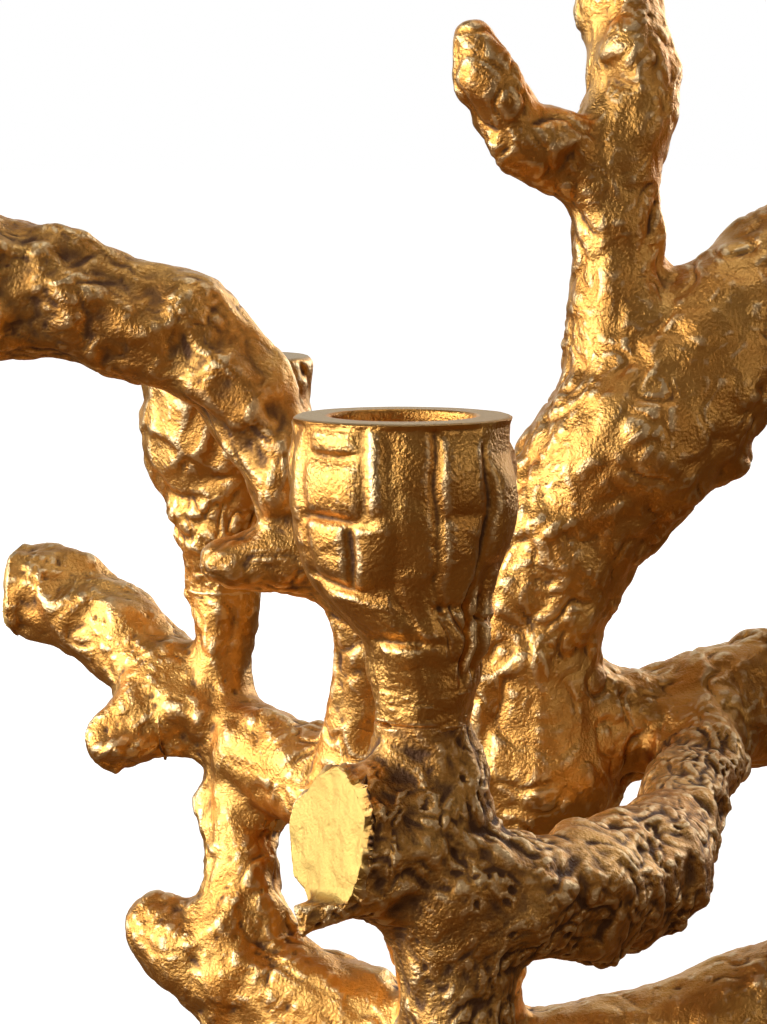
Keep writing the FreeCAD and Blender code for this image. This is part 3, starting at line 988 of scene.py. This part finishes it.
def gilt_material(name, groups, looks, amount, bump):
    """Antique gilding: gold on the crests, brown patina in the hollows, over the casting's grain.

    The mesh says where it is hollow, where a sawn face is rubbed clean and where a rim is ground.
    """
    material, tree, shader, place = principled(name)
    rubbed, ground = attribute(tree, "rubbed"), attribute(tree, "ground")
    untouched = maths(tree, "SUBTRACT", 1.0, rubbed)
    patina = place_group(tree, groups["patina"], place)
    tree.links.new(attribute(tree, "hollow"), patina.inputs["Hollow"])
    tree.links.new(attribute(tree, "broad"), patina.inputs["Broad"])
    # The amount also paints light and shade on whole castings: lower for a painted lit copy, higher for a painted
    # shaded copy
    patina.inputs["Amount"].default_value = amount
    crest = maths(tree, "MULTIPLY", patina.outputs["Crest"], untouched)
    browned = maths(tree, "MULTIPLY", patina.outputs["Patina"], untouched)
    tone = noise_texture(tree, place, 90.0, 3.0)
    colour = tuple(looks.gold) + (1,)
    for share, layer in ((remapped(tree, tone, 0.35, 0.65), looks.deep_gold), (crest, looks.bright_gold),
                         (browned, looks.patina), (rubbed, looks.sawn_gold), (ground, looks.rim_grey)):
        colour = mixed(tree, share, colour, tuple(layer) + (1,))
    tree.links.new(colour, shader.inputs["Base Color"])
    rough = weighted(tree, (tone, 0.16), (browned, 0.22), (ground, 0.16), (rubbed, 0.28))
    tree.links.new(maths(tree, "ADD", rough, looks.roughness), shader.inputs["Roughness"])
    tree.links.new(remapped(tree, browned, 0.3, 1.0, 1.0, 0.55), shader.inputs["Metallic"])
    grain = place_group(tree, groups["grain"], place)
    calm = remapped(tree, rubbed, 0.0, 1.0, 1.0, 0.35)
    bumped(tree, shader, maths(tree, "MULTIPLY", grain.outputs["Height"], calm), bump, 0.0006)
    return material


def felt_material(looks):
    """Brown felt: matted fibres in two tones."""
    material, tree, shader, place = principled("felt_brown")
    fibre = noise_texture(tree, place, 1400.0, 4.0, 0.7)
    colour = mixed(tree, remapped(tree, fibre, 0.35, 0.65), tuple(looks.felt) + (1,), (0.05, 0.032, 0.02, 1))
    tree.links.new(colour, shader.inputs["Base Color"])
    tree.links.new(remapped(tree, fibre, 0.3, 0.7, 0.85, 1.0), shader.inputs["Roughness"])
    shader.inputs["Sheen Weight"].default_value = 0.4
    bumped(tree, shader, fibre, 0.6, 0.0004)
    return material


def steel_material():
    """Rolled steel rod with fine marks round it."""
    material, tree, shader, place = principled("stud_steel_rolled")
    marks = noise_texture(tree, place, 900.0, 3.0)
    tree.links.new(mixed(tree, marks, (0.52, 0.52, 0.54, 1), (0.40, 0.40, 0.42, 1)), shader.inputs["Base Color"])
    shader.inputs["Metallic"].default_value = 1.0
    tree.links.new(remapped(tree, marks, 0.3, 0.7, 0.25, 0.45), shader.inputs["Roughness"])
    return material


# ---------------------------------------------------------------- settings


def colour_property(name, description, default):
    """Linear colour that a user can change."""
    return bpy.props.FloatVectorProperty(name=name, description=description, default=default,
                                         size=3, min=0, max=1, subtype="COLOR")


class CandelabraShape(bpy.types.PropertyGroup):
    """Sizes of the finished surfaces."""

    voxel: bpy.props.FloatProperty(
        name="Skin cell", description="Edge of a cell of the branches' first skin, which is then halved",
        default=0.0013, min=0.0008, max=0.003, unit="LENGTH")
    relief: bpy.props.FloatProperty(
        name="Relief", description="Strength of the cast relief on the branches", default=1.0, min=0, max=2)
    cup_columns: bpy.props.IntProperty(
        name="Cup columns", description="Points round the front cup", default=360, min=90, max=420)


class CandelabraLooks(bpy.types.PropertyGroup):
    """Colours and gloss of the finishes."""

    gold: colour_property("Gold", "Gilding on open surfaces", (0.82, 0.46, 0.13))
    deep_gold: colour_property("Deep gold", "Gilding where it is redder", (0.66, 0.32, 0.075))
    bright_gold: colour_property("Bright gold", "Gilding rubbed bright on crests", (0.93, 0.68, 0.36))
    sawn_gold: colour_property("Sawn gold", "Flat sawn ends of the limbs", (0.70, 0.50, 0.16))
    patina: colour_property("Patina", "Brown patina in the hollows", (0.135, 0.062, 0.025))
    rim_grey: colour_property("Ground metal", "Dull ground faces, such as the cups' rims", (0.64, 0.49, 0.28))
    felt: colour_property("Felt", "Pads under the roots", (0.12, 0.075, 0.045))
    roughness: bpy.props.FloatProperty(
        name="Roughness", description="Roughness of clean gilding", default=0.27, min=0.02, max=1,
        subtype="FACTOR")


# ---------------------------------------------------------------- operators


def finish_piece(piece, material, slot, *nodes):
    """Give a piece its material, and tie it to the frame."""
    if not piece.data.polygons:
        raise RuntimeError(piece.name + " has no faces")
    piece.data.materials.append(material)
    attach(piece, BODY)
    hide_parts(*nodes)


# Amount of patina and strength of the grain in each gilding. The patina amount also paints light and shade on
# whole castings: less on the trunk for painted light, more on the left upper branch for painted shade, and more
# on the front branch, partly real patina and partly painted shade
GILDINGS = {"gilt_branches": (0.12, 0.42), "gilt_painted_lit": (-0.1, 0.42), "gilt_painted_shade": (0.34, 0.42),
            "gilt_front_patina_and_painted_shade": (0.36, 0.65), "gilt_cups": (0.04, 0.4)}


class BuildFinishes(bpy.types.Operator):
    """Make the node groups and the materials."""

    bl_idname = "candelabra.finishes"
    bl_label = "Finishes"

    def execute(self, context):
        looks = context.scene.candelabra_looks
        groups = {"patina": build_patina_group(), "grain": build_grain_group()}
        for name, (amount, bump) in GILDINGS.items():
            gilt_material(name, groups, looks, amount, bump)
        felt_material(looks)
        steel_material()
        return {"FINISHED"}


class BuildBranches(bpy.types.Operator):
    """Make the eleven branch castings as one flowing skin, divided at the studs."""

    bl_idname = "candelabra.branches"
    bl_label = "Branch castings"

    def execute(self, context):
        shape = context.scene.candelabra_shape
        names = CASTINGS + CUPS
        rods = rod_axes("branch_studs") + rod_axes("cup_studs")
        points, quads, part = skinned_body(names, shape.voxel / MM)
        edges = edges_of(quads)
        normals = vertex_normals(points, quads)
        moments = direction_moments(normals, edges)
        coats = part_coats(names, part, edges)
        around = np.cross(limb_direction(moments), normals)
        height = shape.relief * broad_relief(points, normals, around, coats, edges)
        points = points + normals * (height + 0.15)[:, None]
        values = {"part": part.astype(float)}
        values.update({f"coat{i}": coats[:, i] for i in range(6)})
        values.update({f"moment{i}": moments[:, i] for i in range(6)})
        points, quads, values = subdivided(points, quads, values)
        coats = np.stack([values[f"coat{i}"] for i in range(6)], axis=1)
        along = limb_direction(np.stack([values[f"moment{i}"] for i in range(6)], axis=1))
        part, joints = joint_sides(points, np.rint(values["part"]).astype(int), rods)
        edges = edges_of(quads)
        sawn = np.zeros(len(points))
        for centre, facing, radius, chin in SAWN_ENDS:
            points, face = squared_end(points, centre, facing, radius, chin)
            sawn = np.maximum(sawn, face)
        normals = vertex_normals(points, quads)
        height = shape.relief * fine_relief(points, along, coats) * (1 - 0.55 * sawn)
        moved = points + normals * height[:, None]
        moved[:, 2] = np.maximum(moved[:, 2], GROUND)
        face_part = settled_faces(quads, part[quads].max(axis=1))
        seam = seam_points(quads, face_part)
        moved = levelled_seams(moved, vertex_normals(moved, quads), seam, part, joints)
        normals = vertex_normals(moved, quads)
        near = relaxed(moved, edges, 3)
        broad = relaxed(near, edges, 30)
        hollow = np.clip(0.5 + np.einsum("ij,ij->i", near - moved, normals) * 3.4, 0, 1)
        deep = np.clip(0.5 + np.einsum("ij,ij->i", broad - moved, normals) * 0.8, 0, 1)
        for number, name in enumerate(names):
            if name in CUPS:
                pair = next(joint[2:] for joint in joints if number in joint[2:])
                NECKS[name] = moved[np.isin(part, pair)]
                continue
            used, faces, rim = own_part(quads, face_part == number)
            own, bands = tucked_rings(moved[used], rim)
            mesh = new_mesh(name + "_surface", own, np.concatenate((faces, bands)))
            close_openings(mesh)
            mark_sharp(mesh, rim)
            for label, array in (("hollow", hollow), ("broad", deep), ("rubbed", sawn)):
                set_attribute(mesh, label, np.concatenate((array[used], np.zeros(len(own) - len(used)))))
            finish = FINISHES.get(name, "gilt_branches")
            finish_piece(new_object(mesh), bpy.data.materials[finish], SLOT_GILT, name)
        return {"FINISHED"}


class BuildCups(bpy.types.Operator):
    """Make the six candle cups with their plates, channels, bores and flat rims."""

    bl_idname = "candelabra.cups"
    bl_label = "Candle cups"

    def execute(self, context):
        shape = context.scene.candelabra_shape
        for number, name in enumerate(CUPS):
            front = name.endswith("_front")
            columns = shape.cup_columns if front else shape.cup_columns * 2 // 3
            turn = 0.0 if front else 1.1 * number + 0.7
            grid, on_rim, outside, poles = cup_surface(name, columns, columns * 11 // 18, turn, 60 + 7 * number,
                                                        1.0 if front else 0.0)
            rows = len(grid)
            points = np.concatenate((grid.reshape(-1, 3), poles))
            quads = grid_quads(rows, columns)
            first_ring = np.arange(columns)
            last_ring = (rows - 1) * columns + np.arange(columns)
            fans = np.concatenate((pole_fan(first_ring, rows * columns, False),
                                   pole_fan(last_ring, rows * columns + 1, True)))
            mesh = new_mesh(name + "_surface", points, quads, fans)
            mark_sharp(mesh, np.stack((last_ring, np.roll(last_ring, -1)), axis=1))
            mark_sharp(mesh, np.stack((first_ring, np.roll(first_ring, -1)), axis=1))
            normals = vertex_normals(points, quads)
            edges = edges_of(quads)
            near = relaxed(points, edges, 5)
            broad = relaxed(near, edges, 60)
            worn = np.concatenate((outside.ravel(), (False, False)))
            hollow = np.clip(0.5 + np.einsum("ij,ij->i", near - points, normals) * 6.0, 0, 1)
            deep = np.clip(0.5 + np.einsum("ij,ij->i", broad - points, normals) * 1.1, 0, 1)
            set_attribute(mesh, "hollow", np.where(worn, hollow, 0.5))
            set_attribute(mesh, "broad", np.where(worn, deep, 0.5))
            set_attribute(mesh, "ground", np.concatenate((on_rim.ravel(), (0, 0))))
            finish_piece(new_object(mesh), bpy.data.materials["gilt_cups"], SLOT_GILT, name)
        return {"FINISHED"}


class BuildStuds(bpy.types.Operator):
    """Give the hidden studs their steel."""

    bl_idname = "candelabra.studs"
    bl_label = "Studs"

    def execute(self, context):
        for name in ("branch_studs", "cup_studs"):
            slots = frame["nodes"][name].material_slots
            if not slots:
                raise RuntimeError(name + " has no material slot")
            for slot in slots:
                slot.link = "OBJECT"
                slot.material = bpy.data.materials["stud_steel_rolled"]
        return {"FINISHED"}


# Section of a felt pad: share of its radius, share of its thickness
PAD_SECTION = ((0.0, 0.0), (0.5, 0.0), (0.93, 0.0), (0.98, 0.08), (1.0, 0.3), (1.0, 0.6), (0.985, 0.85),
               (0.95, 1.0), (0.5, 1.0), (0.0, 1.0))


def felt_pads(columns=72):
    """Points and quads of all the pads: each is its section turned about its own upright line."""
    section = np.array(PAD_SECTION)
    section[0, 0] = section[-1, 0] = 0.02
    angle = np.linspace(0, 2 * math.pi, columns, endpoint=False)
    points, quads, fans = [], [], []
    for number, solid in enumerate(island_parts("foot_pads")):
        low, high = solid.min(axis=0), solid.max(axis=0)
        middle, reach = (low + high) / 2, (high[0] - low[0]) / 2
        ragged = 1 - 0.012 * np.abs(np.cos(9 * angle + number) * np.cos(4 * angle))
        radius = section[:, :1] * reach * ragged
        ring = np.stack((middle[0] + radius * np.cos(angle), middle[1] + radius * np.sin(angle),
                         np.repeat(low[2] + section[:, 1:] * (high[2] - low[2]), columns, axis=1)), axis=-1)
        poles = ((middle[0], middle[1], low[2]), (middle[0], middle[1], high[2]))
        start, last = sum(len(block) for block in points), len(section) * columns
        points.append(np.concatenate((ring.reshape(-1, 3), poles)))
        quads.append(grid_quads(len(section), columns)[:, ::-1] + start)
        fans.append(pole_fan(np.arange(columns), last, True) + start)
        fans.append(pole_fan(np.arange(last - columns, last), last + 1, False) + start)
    return np.concatenate(points), np.concatenate(quads), np.concatenate(fans)


class BuildPads(bpy.types.Operator):
    """Make the seven felt pads under the roots."""

    bl_idname = "candelabra.pads"
    bl_label = "Felt pads"

    def execute(self, context):
        points, quads, fans = felt_pads()
        piece = new_object(new_mesh("felt_pads", points, quads, fans))
        finish_piece(piece, bpy.data.materials["felt_brown"], SLOT_FELT, "foot_pads")
        return {"FINISHED"}


# ---------------------------------------------------------------- studio


CAMERA_FROM_FRONT_CUP = (-0.003, -0.4985, 0.0415)
CAMERA_TILT = math.radians(6.5)
LENS = 112.0
FLOOR_SIZE = 60.0
ROOM_COLOUR = (0.065, 0.038, 0.019, 1)
SHEET_COLOUR = (0.85, 0.85, 0.85, 1)
FLOOR_IN_REFLECTIONS = (0.17, 0.095, 0.042, 1)
LAMP_TARGET = (0, 0, 0.16)
# Lamps: name, place, size, power, colour
LAMPS = (
    ("key_left", (-1.35, -0.05, 0.42), (1.2, 1.0), 21.5, (1.0, 0.98, 0.95)),
    ("key_front", (-1.0, -1.0, 0.5), (0.8, 1.0), 9.5, (1.0, 0.96, 0.9)),
    ("fill_right", (1.3, -0.75, 0.5), (0.3, 0.9), 2.2, (1.0, 0.9, 0.78)),
    ("fill_top", (0.15, 0.1, 1.5), (0.8, 0.8), 3.5, (1, 1, 1)),
    ("fill_rear", (0.9, 1.2, 0.6), (0.5, 0.9), 6, (1, 1, 1)))


def soft_box(name, place, size, power, colour):
    """Rectangular lamp that faces the middle of the candelabra."""
    lamp = bpy.data.lights.new(name, "AREA")
    lamp.shape = "RECTANGLE"
    lamp.size, lamp.size_y = size
    lamp.energy = power
    lamp.color = colour
    piece = bpy.data.objects.new(name, lamp)
    piece.location = place
    way = np.array(LAMP_TARGET) - np.array(place)
    piece.rotation_euler = (math.acos(-way[2] / np.linalg.norm(way)), 0, math.atan2(way[1], way[0]) - math.pi / 2)
    piece.visible_camera = False
    bpy.context.scene.collection.objects.link(piece)


def pale_floor_material():
    """Pale matt floor, white to the eye away from the shadows, and dim and warm in the metal's reflections."""
    material = bpy.data.materials.new("pale_floor")
    material.use_nodes = True
    tree = material.node_tree
    tree.nodes.clear()
    out = node(tree, "ShaderNodeOutputMaterial")
    path = node(tree, "ShaderNodeLightPath")
    place = node(tree, "ShaderNodeTexCoord")
    far = node(tree, "ShaderNodeVectorMath", operation="LENGTH")
    tree.links.new(place.outputs["Object"], far.inputs[0])
    matt = node(tree, "ShaderNodeBsdfDiffuse", in_Color=(0.8, 0.8, 0.8, 1))
    glow = node(tree, "ShaderNodeEmission", in_Color=(1, 1, 1, 1))
    tree.links.new(remapped(tree, far.outputs["Value"], 0.15, 0.9, 0.62, 1.05), glow.inputs["Strength"])
    dim = node(tree, "ShaderNodeBsdfDiffuse", in_Color=FLOOR_IN_REFLECTIONS)
    seen = node(tree, "ShaderNodeAddShader")
    tree.links.new(matt.outputs[0], seen.inputs[0])
    tree.links.new(glow.outputs[0], seen.inputs[1])
    choice = node(tree, "ShaderNodeMixShader")
    tree.links.new(path.outputs["Is Camera Ray"], choice.inputs[0])
    tree.links.new(dim.outputs[0], choice.inputs[1])
    tree.links.new(seen.outputs[0], choice.inputs[2])
    tree.links.new(choice.outputs[0], out.inputs["Surface"])
    return material


def studio_world():
    """White surroundings to the eye; in reflections a dim warm room with a white sheet at its rear."""
    world = bpy.data.worlds.new("studio")
    world.use_nodes = True
    tree = world.node_tree
    tree.nodes.clear()
    out = node(tree, "ShaderNodeOutputWorld")
    path = node(tree, "ShaderNodeLightPath")
    place = node(tree, "ShaderNodeTexCoord")
    split = node(tree, "ShaderNodeSeparateXYZ")
    tree.links.new(place.outputs["Object"], split.inputs[0])
    sheet = remapped(tree, split.outputs["Y"], 0.55, 0.95)
    colour = mixed(tree, sheet, ROOM_COLOUR, SHEET_COLOUR)
    room = node(tree, "ShaderNodeBackground", in_Strength=1.0)
    tree.links.new(colour, room.inputs["Color"])
    white = node(tree, "ShaderNodeBackground", in_Color=(1, 1, 1, 1), in_Strength=1.0)
    choice = node(tree, "ShaderNodeMixShader")
    tree.links.new(path.outputs["Is Camera Ray"], choice.inputs[0])
    tree.links.new(room.outputs[0], choice.inputs[1])
    tree.links.new(white.outputs[0], choice.inputs[2])
    tree.links.new(choice.outputs[0], out.inputs["Surface"])
    bpy.context.scene.world = world


class BuildStage(bpy.types.Operator):
    """Set the floor, the lamps, the surroundings and the camera."""

    bl_idname = "candelabra.stage"
    bl_label = "Stage"

    def execute(self, context):
        half = FLOOR_SIZE / 2 / MM
        corners = [(-half, -half, 0), (half, -half, 0), (half, half, 0), (-half, half, 0)]
        floor = new_object(new_mesh("pale_floor", corners, [(0, 1, 2, 3)]))
        floor.data.materials.append(pale_floor_material())
        studio_world()
        for name, place, size, power, colour in LAMPS:
            soft_box(name, place, size, power, colour)
        camera = bpy.data.cameras.new("camera")
        camera.lens = LENS
        camera.clip_start, camera.clip_end = 0.01, 100
        view = bpy.data.objects.new("camera", camera)
        cup = MOUNTS["front_cup_bore"]["pos_m"]
        view.location = tuple(a + b for a, b in zip(cup, CAMERA_FROM_FRONT_CUP))
        view.rotation_euler = (math.pi / 2 - CAMERA_TILT, 0, 0)
        context.scene.collection.objects.link(view)
        context.scene.camera = view
        context.scene.view_settings.view_transform = "Standard"
        return {"FINISHED"}


class CandelabraPanel(bpy.types.Panel):
    """Sizes, colours and build steps of the candelabra."""

    bl_idname = "VIEW3D_PT_candelabra"
    bl_label = "Candelabra"
    bl_space_type = "VIEW_3D"
    bl_region_type = "UI"
    bl_category = "Candelabra"

    def draw(self, context):
        for group in (context.scene.candelabra_shape, context.scene.candelabra_looks):
            box = self.layout.box()
            for name in group.__annotations__:
                box.prop(group, name)
        for operator in OPERATORS:
            self.layout.operator(operator.bl_idname)


OPERATORS = (BuildFinishes, BuildBranches, BuildCups, BuildStuds, BuildPads, BuildStage)
CLASSES = (CandelabraShape, CandelabraLooks) + OPERATORS + (CandelabraPanel,)


def register():
    """Register the classes and hang the settings on the scene."""
    for cls in CLASSES:
        bpy.utils.register_class(cls)
    bpy.types.Scene.candelabra_shape = bpy.props.PointerProperty(type=CandelabraShape)
    bpy.types.Scene.candelabra_looks = bpy.props.PointerProperty(type=CandelabraLooks)


def unregister():
    """Undo register."""
    del bpy.types.Scene.candelabra_shape
    del bpy.types.Scene.candelabra_looks
    for cls in reversed(CLASSES):
        bpy.utils.unregister_class(cls)


def main():
    """Build every piece and the stage."""
    register()
    bpy.ops.candelabra.finishes()
    bpy.ops.candelabra.branches()
    bpy.ops.candelabra.cups()
    bpy.ops.candelabra.studs()
    bpy.ops.candelabra.pads()
    bpy.ops.candelabra.stage()


if __name__ == "__main__":
    main()
